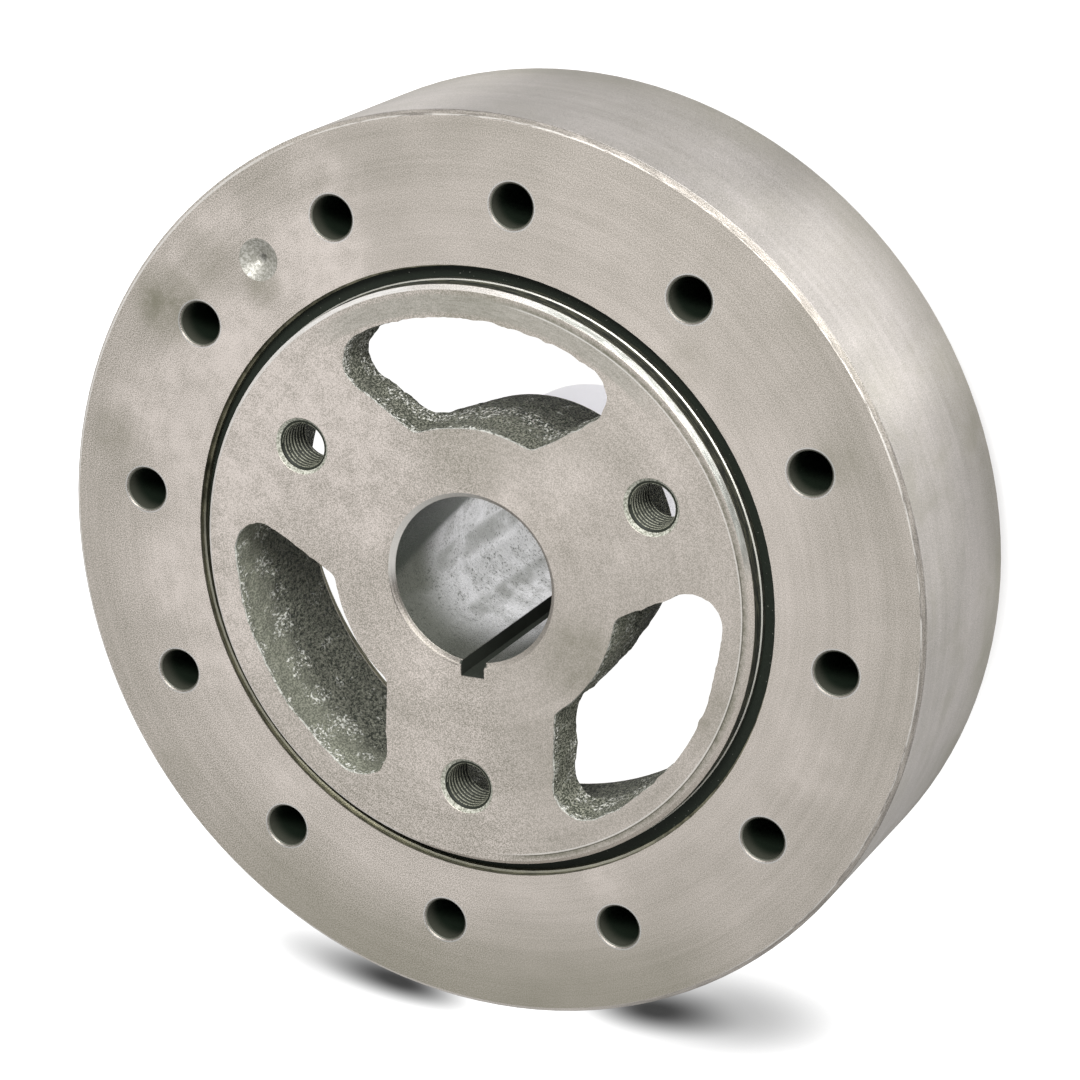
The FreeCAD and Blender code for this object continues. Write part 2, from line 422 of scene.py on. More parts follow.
    def mix(self, share, under, over, blend="MIX"):
        node = self.add("ShaderNodeMix", data_type="RGBA", blend_type=blend, clamp_factor=True)
        self.feed(node.inputs[0], share)
        self.feed(node.inputs[6], under)
        self.feed(node.inputs[7], over)
        return node.outputs[2]

    def shade(self, colour, lightness):
        """Make a colour lighter or darker by a factor that varies over the surface."""
        node = self.add("ShaderNodeVectorMath", operation="SCALE")
        self.feed(node.inputs[0], colour)
        self.feed(node.inputs["Scale"], lightness)
        return node.outputs[0]

    def dim(self, colour, share, lightness):
        """Make a colour lighter or darker by a factor where a share is 1."""
        return self.shade(colour, self.scaled(share, 1.0, lightness))

    def bump(self, height, depth, under=None):
        node = self.add("ShaderNodeBump")
        node.inputs["Strength"].default_value = 1.0
        node.inputs["Distance"].default_value = depth
        self.feed(node.inputs["Height"], height)
        if under is not None:
            self.feed(node.inputs["Normal"], under)
        return node.outputs[0]

    def surface(self, colour, metallic, roughness, normal=None, specular=0.5, lathe=None):
        """Principled surface; lathe is how far its gloss is drawn out across the turning marks."""
        shader = self.add("ShaderNodeBsdfPrincipled")
        self.feed(shader.inputs["Base Color"], colour)
        self.feed(shader.inputs["Metallic"], metallic)
        self.feed(shader.inputs["Roughness"], roughness)
        shader.inputs["Specular IOR Level"].default_value = specular
        if normal is not None:
            self.feed(shader.inputs["Normal"], normal)
        if lathe is not None:
            self.feed(shader.inputs["Anisotropic"], lathe)
            shader.inputs["Anisotropic Rotation"].default_value = 0.25
            round_axis = self.add("ShaderNodeTangent", direction_type="RADIAL", axis="Z")
            self.feed(shader.inputs["Tangent"], round_axis.outputs[0])
        self.add("ShaderNodeOutputMaterial", shader.outputs[0])
        return self.material


def machined_iron(paint, looks, front, dull, shine, coarse):
    """Colour, roughness and height of turned iron, with marks that follow the lathe on faces and walls."""
    across = paint.plus(paint.times(front, paint.radius), paint.z)
    grain = paint.rise(paint.noise(0.19 * MM, detail=1.0), 0.30, 0.70)
    cloud = paint.noise(16 * MM, detail=3.0, roughness=0.55)
    marks = paint.noise(0.5 * MM, roughness=0.6, place=paint.turned(across, 0.9 * MM))
    wide_marks = paint.noise(2.4 * MM, place=paint.turned(across, 4.0 * MM))
    tone = paint.around((cloud, 0.35), (marks, 0.18), (wide_marks, 0.20))
    speckle = paint.times(paint.sums("SUBTRACT", grain, 0.5), coarse, looks.grain)
    # The shine is painted sheen that lightens the tone
    tone = paint.plus(tone, paint.times(shine, 0.36), speckle)
    colour = paint.mix(tone, looks.iron_dark, looks.iron_light)
    # Stains and painted shade, mixed toward the stain colour
    colour = paint.mix(dull, colour, looks.stain_and_shade_colour)
    roughness = paint.plus(paint.scaled(grain, -0.05, 0.05), looks.iron_roughness)
    return colour, roughness, paint.times(paint.plus(grain, marks), 0.5)


def streaks(paint, across):
    """Fine streaks that run round the axis, from 0 to 1."""
    fine = paint.noise(0.35 * MM, detail=3.0, roughness=0.7, place=paint.turned(across, 5 * MM))
    return paint.rise(fine, 0.32, 0.68)


def ring_material(looks):
    """Turned iron of the ring: olive staining, painted sheen and painted shade on its face, a cooler
    outside with painted light and shade, and drilled holes dark with painted shade.
    """
    paint = Paint("ring_iron_turned")
    front = paint.facing_front()
    depth = paint.below(RING_FACE_Z)
    from_edge = paint.beyond(RING_RADIUS)
    turning = streaks(paint, paint.z)
    # Olive staining, and painted shade on the lower side toward the rim
    lower_side_shade = paint.times(paint.sector(-108, -66, 26), paint.rise(from_edge, -23.75, -3.75), 0.5)
    stains_and_shade = paint.times(front, paint.either(paint.patches(RING_STAINS, RING_FACE_Z), lower_side_shade))
    # Painted sheen, lighter toward the rubber and darker toward the rim
    toward_rim = paint.scaled(paint.rise(paint.radius, RUBBER_RADIUS, RING_RADIUS), 0.27, -0.16)
    shine = paint.times(front, paint.plus(paint.patches(RING_PAINTED_SHEEN, RING_FACE_Z), toward_rim))
    coarse = paint.scaled(paint.sector(-75, 112, 18), 1.25, 0.62)
    colour, roughness, height = machined_iron(paint, looks, front, stains_and_shade, shine, coarse)

    outside = paint.rise(from_edge, -0.25, -0.08)
    smudge = paint.rise(paint.noise(11 * MM, detail=4.0, roughness=0.6, warp=0.5), 0.42, 0.72)
    smudge = paint.times(smudge, paint.scaled(paint.sector(-45, 25, 25), 0.25, 0.6), 0.5)
    back_edge = paint.rise(paint.z, RING_BACK_Z + 16 * MM, RING_BACK_Z + 1 * MM)
    # Cooler tint of the ring's outside, whose darkening is painted shade
    cool = paint.mix(1.0, colour, looks.outside_tint_and_shade, "MULTIPLY")
    cool = paint.mix(paint.plus(smudge, paint.times(back_edge, 0.3)), cool, looks.stain_and_shade_colour)
    # Painted light and shade on sides of the ring's outside
    for start, end, soft, lightness in OUTSIDE_SHADES:
        cool = paint.dim(cool, paint.sector(start, end, soft), lightness)
    # Painted shade near the face between 48 and 56 degrees
    near_face = paint.rise(paint.z, RING_BACK_Z + 15 * MM, RING_FACE_Z - 8 * MM)
    cool = paint.dim(cool, paint.times(paint.sector(48, 56, 6), near_face), 0.84)
    # Painted sheen between 14 and 62 degrees: lighter toward the face, darker toward the back
    sheen_slope = paint.scaled(paint.rise(paint.z, RING_BACK_Z, RING_FACE_Z - 5 * MM), 0.80, 1.18)
    cool = paint.mix(paint.sector(14, 62, 10), cool, paint.shade(cool, sheen_slope))
    colour = paint.mix(outside, colour, cool)

    chamfer = paint.times(paint.band(from_edge, -0.95, -0.1, 0.04), paint.band(depth, 0.04, 1.0, 0.02))
    # Painted shade on the chamfer's lit side, which dims its highlight
    chamfer_shade = paint.shade(colour, paint.scaled(turning, 0.50, 0.85))
    colour = paint.mix(paint.times(chamfer, paint.sector(-60, 105, 14)), colour, chamfer_shade)
    # Bright lines on the chamfer, partly wear and partly painted highlight: along its inner edge and on the
    # far side
    worn = paint.times(chamfer, paint.rise(from_edge, -0.72, -0.80), paint.sector(-40, 130, 18),
                       paint.rise(turning, 0.2, 0.6))
    far_edge = paint.times(paint.sector(130, 215, 10), paint.band(from_edge, -1.0, -0.55, 0.05))
    colour = paint.mix(paint.times(paint.either(worn, far_edge), 0.55), colour, looks.wear_and_highlight_colour)

    # Painted shade on the walls of the recess beside the rubber, with turning streaks
    mouth = paint.times(paint.rise(depth, 0.05, 0.30), paint.rise(paint.beyond(RUBBER_RADIUS), 0.7, 0.5))
    colour = paint.mix(mouth, colour, paint.mix(turning, MOUTH_SHADE_DARK, MOUTH_SHADE_LIGHT))
    # Painted highlight on the step in that recess, between -165 and -60 degrees
    step = paint.times(mouth, front, paint.sector(-165, -60, 20), 0.85)
    colour = paint.mix(step, colour, STEP_HIGHLIGHT)

    from_hole = paint.from_holes(RING_HOLE_COUNT, RING_HOLE_CIRCLE, 0.0, RING_HOLE_RADIUS)
    drilled = paint.times(paint.rise(from_hole, 0.35, 0.22), paint.rise(depth, 0.15, 0.25),
                          paint.rise(paint.z, RING_BACK_Z + 0.1 * MM, RING_BACK_Z + 1.0 * MM))
    # Painted shade inside the ring's holes, darker deeper in
    colour = paint.mix(drilled, colour, paint.mix(paint.rise(depth, 0.4, 5), HOLE_SHADE_MOUTH, HOLE_SHADE_DEEP))
    # Painted highlight: a pale bluish ring round each hole on the face
    hole_rim_highlight = paint.times(paint.band(from_hole, 0.40, 0.55, 0.18), front, 0.30)
    colour = paint.mix(hole_rim_highlight, colour, HOLE_RIM_HIGHLIGHT)
    mark = on_circle(RING_HOLE_CIRCLE, DRILL_MARK_ANGLE, RING_FACE_Z)
    dimple = paint.times(paint.patch(mark, RING_HOLE_RADIUS, 0.1 * MM), paint.rest(front))
    heart = paint.patch(mark - Vector((0, 0, DRILL_MARK_DEPTH)), 0.3 * MM, 1.1 * MM)
    cut = paint.rise(paint.noise(0.5 * MM, detail=3.0, roughness=0.7), 0.40, 0.62)
    colour = paint.mix(dimple, colour, paint.dim(paint.mix(cut, DIMPLE_DARK, DIMPLE_LIGHT), heart, 0.45))
    # Painted shade on the outer part of the holes' chamfers, which dims their highlight
    hole_edge_shade = paint.times(paint.rise(from_hole, 0.42, 0.38), paint.rest(paint.either(front, drilled)),
                            paint.rise(depth, 0.6, 0.5))
    colour = paint.dim(colour, hole_edge_shade, 0.55)
    matt = paint.either(drilled, dimple)
    metallic = paint.times(paint.rest(paint.times(matt, 0.7)), looks.iron_metallic)
    lathe = paint.scaled(outside, looks.lathe, 0.8)
    return paint.surface(colour, metallic, roughness, paint.bump(height, TOOL_MARK_HEIGHT), lathe=lathe)


def cast_iron(paint, looks):
    """Colour and height of sand-cast iron, with pale flakes that gather near the front edge."""
    place = paint.drawn_out(0.6)
    depth = paint.below(FACE_Z)
    sand = paint.rise(paint.noise(0.32 * MM, roughness=0.6, place=place), 0.41, 0.59)
    calm = paint.times(paint.sector(-175, -100, 15), 0.5)
    sand = paint.plus(paint.times(sand, paint.rest(calm)), paint.times(calm, 0.46))
    lumps = paint.noise(3.5 * MM, detail=3.0, roughness=0.6, place=place)
    near_front = paint.rise(depth, 3.5, 0.8)
    belt = paint.times(paint.band(depth, 8, 12, 3), 0.8)
    gather = paint.rise(paint.plus(lumps, paint.times(paint.either(near_front, belt), 0.18)), 0.58, 0.67)
    flake = paint.rise(paint.noise(0.5 * MM, detail=3.0, roughness=0.65, place=place), 0.54, 0.57)
    low = paint.rise(depth, 8, 14)
    pit = paint.rise(paint.noise(0.6 * MM, detail=3.0, roughness=0.7, place=place), 0.50, 0.60)
    pits = paint.times(low, pit)
    # Deeper in the windows the sand's dark tone turns darker: painted shade
    colour = paint.mix(sand, paint.mix(low, SAND_HOLLOW, looks.cast_dark), looks.cast_light)
    colour = paint.shade(colour, paint.scaled(lumps, 0.75, 1.25))
    # Painted light and shade on sides of the cast walls
    for start, end, soft, lightness in CAST_SHADES:
        colour = paint.dim(colour, paint.sector(start, end, soft), lightness)
    colour = paint.mix(paint.times(pits, 0.9), colour, SAND_PIT)
    ragged = paint.rise(paint.noise(1.3 * MM, detail=3.0, roughness=0.7), 0.36, 0.54)
    burr = paint.times(paint.band(depth, 0.12, 0.55, 0.12), ragged, 0.8)
    flakes = paint.either(paint.times(gather, flake), burr)
    colour = paint.mix(paint.times(flakes, 0.9), colour, looks.flake_colour)
    height = paint.times(paint.plus(sand, flakes), 0.5)
    return colour, paint.sums("SUBTRACT", height, paint.times(pits, 0.7))


def bore_iron(paint, looks):
    """Colour of the honed bore: pale, with painted reflection streaks along it, dark specks and painted
    shade on one side.
    """
    marks = paint.noise(0.4 * MM, roughness=0.6, place=paint.turned(paint.z, 4 * MM))
    specks = paint.rise(paint.noise(0.45 * MM, detail=3.0, roughness=0.7), 0.55, 0.61)
    mottle = paint.rise(paint.noise(4 * MM, detail=4.0, roughness=0.65), 0.38, 0.66)
    wander = paint.rise(paint.noise(7 * MM, detail=3.0, roughness=0.6), 0.25, 0.60)
    # Mottle, and painted dark reflections along the bore and toward its front
    dull = [paint.times(mottle, 0.35), paint.times(paint.rise(paint.z, 32 * MM, 53 * MM), 0.92),
            paint.times(paint.sector(185, 205, 25), paint.rise(paint.z, 34 * MM, 48 * MM), 0.95)]
    for start, end, soft, dark in BORE_REFLECTION_STREAKS:
        dull.append(paint.times(paint.sector(start, end, soft), wander, dark))
    colour = paint.shade(looks.bore_colour, paint.scaled(marks, 0.80, 1.2))
    colour = paint.mix(paint.either(*dull), colour, BORE_MOTTLE_AND_REFLECTION)
    colour = paint.mix(paint.times(paint.scaled(mottle, 0.25, 0.9), specks), colour, BORE_SPECK)
    # Painted shade on one side of the bore, slanting along it
    turn = paint.sums("FLOORED_MODULO", paint.sums("ARCTAN2", paint.y, paint.x), math.tau)
    slant = paint.sums("SUBTRACT", turn, paint.times(paint.z, SHADE_SLANT))
    shaded_corner = paint.rise(slant, SHADE_START + 0.10, SHADE_START - 0.04)
    return paint.mix(paint.times(shaded_corner, paint.sector(150, 200, 60), 0.93), colour, BORE_SHADE)


def hub_material(looks):
    """Turned iron on the hub's faces, honed iron in its bore and sand-cast iron in its windows."""
    paint = Paint("hub_iron")
    front = paint.facing_front()
    depth = paint.below(FACE_Z)
    turning = streaks(paint, paint.z)
    # Painted shade patches on the hub's face, in the stain's colour
    stains_and_shade = paint.times(front, paint.patches(HUB_PAINTED_SHADE, FACE_Z))
    # Painted sheen on the hub's face
    shine = paint.times(front, paint.patches(HUB_PAINTED_SHEEN, FACE_Z))
    coarse = paint.scaled(paint.sector(-60, 80, 20), 1.0, 0.6)
    colour, roughness, height = machined_iron(paint, looks, front, stains_and_shade, shine, coarse)

    from_step = paint.beyond(UNCUT_RADIUS)
    brushed = paint.times(front, paint.band(from_step, -2.7, 0, 0.8), paint.sector(62, 122, 14), 0.55)
    brush_marks = paint.mix(streaks(paint, paint.radius), BRUSHED_DARK, BRUSHED_LIGHT)
    colour = paint.mix(brushed, colour, brush_marks)
    band_side = paint.sector(-68, 80, 12)
    blotch = paint.rise(paint.noise(1.0 * MM, detail=4.0, roughness=0.75), 0.32, 0.66)
    uncut = paint.times(paint.rise(from_step, 0, 0.08), paint.rise(from_step, 1.3, 0.2), band_side,
                        paint.scaled(blotch, 0.30, 1.0), 0.85)
    colour = paint.mix(uncut, colour, UNCUT_SKIN)
    dark_line = paint.times(paint.band(from_step, 0.06, 0.16, 0.07), paint.sector(-68, 15, 12), front, 0.85)
    colour = paint.mix(dark_line, colour, STEP_DARK)
    light_line = paint.times(paint.band(from_step, -0.24, -0.10, 0.08), band_side, front, 0.6)
    colour = paint.mix(light_line, colour, looks.wear_and_highlight_colour)

    from_rim = paint.beyond(RIM_FRONT_RADIUS)
    chamfer = paint.times(paint.rise(from_rim, -0.82, -0.74), paint.rise(depth, 0.95, 0.75),
                          paint.rest(front))
    # Painted shade on the rim chamfer's lit side, which dims its highlight, and a painted highlight on the
    # far side
    cream = paint.shade(CHAMFER_SHADE_CREAM, paint.scaled(turning, 0.62, 0.32))
    colour = paint.mix(paint.times(chamfer, paint.sector(22, 80, 9)), colour, cream)
    pale = paint.either(paint.sector(112, 258, 10), paint.times(paint.sector(84, 112, 8), 0.5))
    colour = paint.mix(paint.times(chamfer, pale, paint.scaled(turning, 0.6, 1.0)), colour, CHAMFER_HIGHLIGHT)
    ledge = paint.times(paint.rise(from_rim, 0.16, 0.22),
                        paint.band(paint.z, LEDGE_Z - 0.02 * MM, LEDGE_Z + LEDGE_SLOPE, 0.02 * MM))
    # Painted shade in the groove between the rim and the rubber, with turning streaks
    groove = paint.times(paint.rise(from_rim, -0.12, -0.05), paint.rise(depth, 0.80, 1.05),
                         paint.rest(front), paint.rest(ledge))
    colour = paint.mix(groove, colour, paint.mix(paint.rise(turning, 0.3, 0.9), GROOVE_SHADE_DARK, GROOVE_SHADE_LIGHT))
    colour = paint.mix(ledge, colour, LEDGE_BRIGHT)

    from_bore = paint.beyond(BORE_RADIUS)
    bore = paint.times(paint.rise(from_bore, 0.14, 0.06), paint.rise(depth, 0.90, 1.05))
    colour = paint.mix(bore, colour, bore_iron(paint, looks))
    lip = paint.times(paint.rise(from_bore, 1.1, 1.0), paint.rise(depth, 1.2, 1.1),
                      paint.rest(paint.either(front, bore)))
    rings = paint.rise(paint.noise(0.5 * MM, detail=1.0, place=paint.turned(paint.z, 0.3 * MM)), 0.40, 0.60)
    # Painted shade on the bore's lip, strongest between 190 and 262 degrees, where it dims the highlight
    dark_side = paint.scaled(paint.sector(190, 262, 22), 0.15, 1.0)
    shaded = paint.times(lip, paint.scaled(rings, 0.15, 0.68), dark_side)
    colour = paint.shade(colour, paint.rest(shaded))
    # Painted highlight on the lip between 95 and 180 degrees
    colour = paint.mix(paint.times(lip, paint.sector(95, 180, 20), 0.7), colour, looks.wear_and_highlight_colour)
    # Painted shade in the keyway
    keyway = paint.times(paint.band(from_bore, 0.15, KEYWAY_DEPTH / MM + 0.4, 0.05),
                         paint.rise(depth, 0.1, 0.4),
                         paint.sector(KEYWAY_ANGLE - 9, KEYWAY_ANGLE + 9, 1.5))
    colour = paint.mix(keyway, colour, KEYWAY_SHADE)
    snout = paint.times(paint.band(paint.beyond(SNOUT_RADIUS), -0.1, 0.1, 0.1),
                        paint.rise(paint.z, HUB_BACK_Z + 8 * MM, HUB_BACK_Z + 6 * MM))
    colour = paint.mix(snout, colour, looks.snout_colour)

    from_bolt = paint.from_holes(PULLEY_HOLE_COUNT, PULLEY_CIRCLE, PULLEY_HOLE_ANGLE, PULLEY_HOLE_RADIUS)
    drilled = paint.rise(from_bolt, 0.9, 0.7)
    sink = paint.times(drilled, paint.rise(depth, 0.02, 0.08))
    sink_depth = PULLEY_SINK / MM
    # Painted shade inside the pulley holes, from the countersink's root down
    root = paint.rise(depth, sink_depth - 0.03, sink_depth + 0.05)
    rough_cut = paint.rise(paint.noise(0.4 * MM, detail=3.0, roughness=0.7), 0.36, 0.64)
    sink_colour = paint.mix(root, paint.mix(rough_cut, SINK_DARK, SINK_LIGHT), SINK_ROOT_SHADE)
    colour = paint.mix(sink, colour, sink_colour)

    between = paint.band(paint.radius, CAST_INNER_RADIUS - 0.5 * MM, CAST_OUTER_RADIUS + 1.0 * MM, 0.2 * MM)
    cast = paint.times(between, paint.rise(depth, 0.03, 0.12), paint.rest(drilled),
                       paint.rise(paint.z, HUB_BACK_Z + 0.02 * MM, HUB_BACK_Z + 0.3 * MM))
    # Painted shade on the boss behind each pulley hole
    behind_bolt = paint.times(paint.rise(from_bolt, BOLT_SHADE_END, BOLT_SHADE_START),
                              paint.rise(depth, 22, 14),
                              paint.rise(paint.beyond(CAST_INNER_RADIUS), 6, 4.5))
    cast_colour, cast_height = cast_iron(paint, looks)
    colour = paint.mix(cast, colour, paint.dim(cast_colour, behind_bolt, 0.25))
    matt = paint.either(cast, paint.times(keyway, 0.8), groove, paint.times(sink, 0.9))
    roughness = paint.plus(roughness, paint.times(matt, 0.35), paint.times(bore, -0.12))
    rough = paint.bump(paint.times(cast_height, cast), SAND_HEIGHT, paint.bump(height, TOOL_MARK_HEIGHT))
    metallic = paint.times(paint.rest(paint.times(matt, 0.8)), looks.iron_metallic)
    return paint.surface(colour, metallic, roughness, rough, lathe=looks.lathe)


def rubber_material(looks):
    """Black rubber with a green cast and a few pale specks."""
    paint = Paint("rubber_black")
    fine = paint.noise(0.4 * MM, detail=3.0)
    speck = paint.rise(paint.noise(0.5 * MM, detail=1.0), 0.74, 0.78)
    colour = paint.shade(looks.rubber_colour, paint.scaled(fine, 0.7, 1.4))
    colour = paint.mix(paint.times(speck, 0.5), colour, RUBBER_SPECK)
    return paint.surface(colour, 0.0, looks.rubber_roughness, paint.bump(fine, 0.03 * MM), specular=0.25)


def thread_material(looks):
    """Cut iron of the threads: lighter crests over dark flanks, whose darkness is painted shade."""
    paint = Paint("thread_iron")
    fine = paint.noise(0.3 * MM, detail=3.0)
    from_bolt = paint.from_holes(PULLEY_HOLE_COUNT, PULLEY_CIRCLE, PULLEY_HOLE_ANGLE, PULLEY_HOLE_RADIUS)
    crest = paint.times(paint.rise(from_bolt, -0.40, -0.46), paint.rise(fine, 0.30, 0.55))
    colour = paint.mix(crest, THREAD_SHADE, looks.thread_colour)
    rough = paint.bump(fine, TOOL_MARK_HEIGHT)
    return paint.surface(colour, paint.times(crest, 0.5), 0.55, rough, specular=0.25)


def floor_material(studio):
    """White floor that shows the part's shadow in painted pools beside it and under the ring, and shows
    white in what looks at it or mirrors it, brighter on one side as a painted reflection.
    """
    paint = Paint("floor_white")
    rays = paint.add("ShaderNodeLightPath")
    seen = paint.either(rays.outputs["Is Camera Ray"], rays.outputs["Is Transmission Ray"])
    reach = paint.beyond(0.0)
    # Painted shadow pools beside the part, and a painted shadow under the ring
    lit = paint.times(*[paint.scaled(paint.pool(*pool), 1.0, 1.0 - depth) for *pool, depth in SHADOWS])
    under = paint.times(paint.rise(reach, 66, 74), paint.rise(reach, 90, 77))
    glow = paint.times(lit, paint.scaled(under, 1.0, studio.under_glow))
    glow = paint.scaled(glow, studio.shadow_glow, 1.0)
    # In reflections the floor is white under the part, dimmer round it and brighter on one side, a painted
    # highlight on the ring's outside
    middle = paint.rise(reach, 60, 45)
    bright_side = paint.times(paint.sector(BRIGHT_START, BRIGHT_END, 9), studio.bright_glow)
    bright = paint.scaled(paint.either(middle, bright_side), studio.mirror_glow, 1.0)
    far = paint.either(paint.scaled(paint.rise(reach, 90, 116), 0.60, 1.25), middle)
    mirrored = paint.times(rays.outputs["Is Glossy Ray"], bright, far)
    shine = paint.add("ShaderNodeEmission")
    paint.feed(shine.inputs["Strength"], paint.either(paint.times(seen, glow), mirrored))
    matt = paint.add("ShaderNodeBsdfDiffuse")
    # The painted shadow also darkens the floor's own colour
    shadow = paint.times(paint.rest(lit), 0.8)
    paint.feed(matt.inputs["Color"], paint.mix(shadow, studio.floor_colour, (0, 0, 0)))
    both = paint.add("ShaderNodeAddShader", shine.outputs[0], matt.outputs[0])
    paint.add("ShaderNodeOutputMaterial", both.outputs[0])
    return paint.material


def dress(node, material):
    """Give a piece of the frame its finish."""
    piece = frame["nodes"][node]
    for slot in piece.material_slots:
        slot.material = material


def only(piece):
    """Select one object and make it active."""
    bpy.ops.object.select_all(action="DESELECT")
    piece.select_set(True)
    bpy.context.view_layer.objects.active = piece


def settle(piece, name):
    """Name a finished piece and put its place into its mesh."""
    only(piece)
    bpy.ops.object.transform_apply(location=True, rotation=True, scale=True)
    piece.name = name
    piece.data.name = name
    return piece


COLOUR = {"subtype": "COLOR", "size": 3, "min": 0, "max": 1}
SHARE = {"subtype": "FACTOR", "min": 0, "max": 1}


class BALANCER_PG_finish(bpy.types.PropertyGroup):
    iron_light: FloatVectorProperty(
        name="Turned iron, light", description="Lighter colour of the machined faces",
        default=(0.81, 0.735, 0.68), **COLOUR)
    iron_dark: FloatVectorProperty(
        name="Turned iron, dark", description="Darker colour of the machined faces",
        default=(0.21, 0.20, 0.155), **COLOUR)
    # Also the colour of painted shade patches on the faces
    stain_and_shade_colour: FloatVectorProperty(
        name="Stain", description="Colour of the soft olive stains",
        default=(0.235, 0.225, 0.165), **COLOUR)
    # Its darkening of the ring's outside is painted shade
    outside_tint_and_shade: FloatVectorProperty(
        name="Outside tint", description="Cooler tint of the ring's outside",
        default=(0.76, 0.775, 0.81), **COLOUR)
    # Also the colour of painted highlights on edges and on the bore's lip
    wear_and_highlight_colour: FloatVectorProperty(
        name="Worn edge", description="Colour of the bright worn edges",
        default=(0.86, 0.84, 0.80), **COLOUR)
    bore_colour: FloatVectorProperty(
        name="Bore", description="Colour of the honed bore",
        default=(0.78, 0.775, 0.785), **COLOUR)
    snout_colour: FloatVectorProperty(
        name="Snout", description="Colour of the ground snout",
        default=(0.94, 0.93, 0.97), **COLOUR)
    lathe: FloatProperty(
        name="Lathe gloss", description="How far gloss is drawn out across the turning marks",
        default=0.25, **SHARE)
    iron_roughness: FloatProperty(
        name="Iron roughness", description="Roughness of the machined faces",
        default=0.42, **SHARE)
    iron_metallic: FloatProperty(
        name="Iron metallic", description="How metallic the bare iron is",
        default=0.75, **SHARE)
    grain: FloatProperty(
        name="Grain", description="How much the fine grain changes the lightness",
        subtype="FACTOR", default=0.62, min=0, max=2)
    cast_light: FloatVectorProperty(
        name="Cast iron, light", description="Lighter colour of the rough cast walls",
        default=(0.43, 0.434, 0.35), **COLOUR)
    cast_dark: FloatVectorProperty(
        name="Cast iron, dark", description="Darker colour of the rough cast walls",
        default=(0.045, 0.053, 0.035), **COLOUR)
    flake_colour: FloatVectorProperty(
        name="Flakes", description="Colour of the pale flakes on the cast walls",
        default=(0.90, 0.90, 0.84), **COLOUR)
    rubber_colour: FloatVectorProperty(
        name="Rubber", description="Colour of the rubber strip",
        default=(0.010, 0.014, 0.009), **COLOUR)
    rubber_roughness: FloatProperty(
        name="Rubber roughness", description="Roughness of the rubber strip",
        default=0.6, **SHARE)
    thread_colour: FloatVectorProperty(
        name="Thread", description="Colour of the cut threads",
        default=(0.27, 0.275, 0.215), **COLOUR)


class BALANCER_PG_casting(bpy.types.PropertyGroup):
    finest_edge: FloatProperty(
        name="Finest edge", description="Longest edge that is left in the mesh of the cast walls",
        unit="LENGTH", default=1.0 * MM, min=0.5 * MM, max=8 * MM)
    cast_relief: FloatProperty(
        name="Cast relief", description="How far the sand left the cast walls out", unit="LENGTH",
        default=0.42 * MM, min=0, max=2 * MM)


class BALANCER_PG_thread(bpy.types.PropertyGroup):
    pitch: FloatProperty(
        name="Pitch", description="Distance from one turn of the thread to the next", unit="LENGTH",
        default=1.058 * MM, min=0.2 * MM, max=3 * MM)
    height: FloatProperty(
        name="Height", description="How far the thread stands out of the hole's wall", unit="LENGTH",
        default=0.52 * MM, min=0.1 * MM, max=2 * MM)


class BALANCER_PG_studio(bpy.types.PropertyGroup):
    floor_colour: FloatVectorProperty(
        name="Floor", description="Colour of the floor",
        default=(0.50, 0.50, 0.50), **COLOUR)
    mirror_glow: FloatProperty(
        name="Mirrored glow", description="How white the floor round the part looks in the iron's gloss",
        default=0.22, **SHARE)
    # The painted highlight on the ring's outside
    bright_glow: FloatProperty(
        name="Mirrored highlight", description="How white the floor looks in the gloss of the bright side",
        default=0.9, **SHARE)
    shadow_glow: FloatProperty(
        name="Shadow glow", description="How white the floor looks by itself where the shadow falls",
        default=0.0, **SHARE)
    # This glow sets the painted shadow under the ring
    under_glow: FloatProperty(
        name="Glow under the ring", description="How white the floor looks by itself under the ring",
        default=0.35, **SHARE)
    sky_strength: FloatProperty(
        name="Room light", description="Strength of the even light from all round",
        default=0.62, min=0, max=3)
    key_power: FloatProperty(
        name="Top lamp", description="Power of the large soft lamp above the picture", unit="POWER",
        default=13.0, min=0, max=200)
    side_power: FloatProperty(
        name="Side lamp", description="Power of the lamp that lights the right-hand chamfers", unit="POWER",
        default=6.0, min=0, max=200)


class BALANCER_OT_finish_ring(bpy.types.Operator):
    """Give the inertia ring its turned iron finish"""
    bl_idname = "balancer.finish_ring"
    bl_label = "Finish inertia ring"

    def execute(self, context):
        dress("inertia_ring", ring_material(context.scene.balancer_finish))
        return {"FINISHED"}


def beside_bolt(place):
    """Whether a place is in a pulley hole or its countersink."""
    for number in range(PULLEY_HOLE_COUNT):
        axis = on_circle(PULLEY_CIRCLE, PULLEY_HOLE_ANGLE + number * 360 / PULLEY_HOLE_COUNT)
        if math.hypot(place.x - axis.x, place.y - axis.y) < PULLEY_HOLE_RADIUS + PULLEY_SINK + 0.1 * MM:
            return True
    return False


def is_cast(face):
    """Whether a face is sand-cast: a window's wall, the web's back or the trough behind it."""
    centre = face.calc_center_median()
    inside = CAST_INNER_RADIUS < math.hypot(centre.x, centre.y) < CAST_OUTER_RADIUS
    deep = HUB_BACK_Z + 0.02 * MM < centre.z < FACE_Z - 0.01 * MM
    return inside and deep and not all(beside_bolt(vertex.co) for vertex in face.verts)


